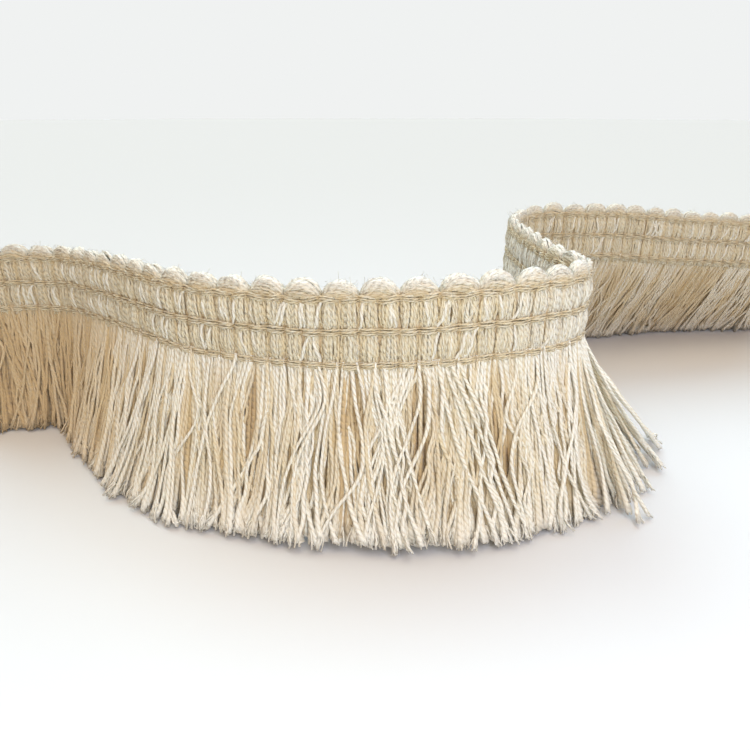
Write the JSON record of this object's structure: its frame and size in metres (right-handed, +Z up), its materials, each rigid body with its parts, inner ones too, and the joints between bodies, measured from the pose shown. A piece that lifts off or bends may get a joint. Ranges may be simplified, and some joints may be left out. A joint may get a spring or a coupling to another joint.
{
  "type": "tassel fringe trim",
  "caption": "Cotton brush fringe with a scalloped woven heading and a dense skirt of twisted strands, standing in an open wave.",
  "frame": {"origin": "on the ground, under the middle of the standing trim", "axes": "+X along the length from one cut end to the other, +Y towards the rear turn, +Z up from the strand tips to the loops"},
  "size_m": [0.2976, 0.1588, 0.0628],
  "materials": {
    "heading_yarn": "natural cream cotton yarn, matt, tightly woven",
    "skirt_yarn": "natural cream cotton yarn, matt, loose two-ply twist with frayed pale tips"
  },
  "bodies": {
    "root": {"heading": "heading_yarn", "fringe_01": "skirt_yarn", "fringe_02": "skirt_yarn", "fringe_03": "skirt_yarn", "fringe_04": "skirt_yarn", "fringe_05": "skirt_yarn", "fringe_06": "skirt_yarn", "fringe_07": "skirt_yarn", "fringe_08": "skirt_yarn", "fringe_09": "skirt_yarn", "fringe_10": "skirt_yarn", "fringe_11": "skirt_yarn", "fringe_12": "skirt_yarn"}
  },
  "joints": []
}
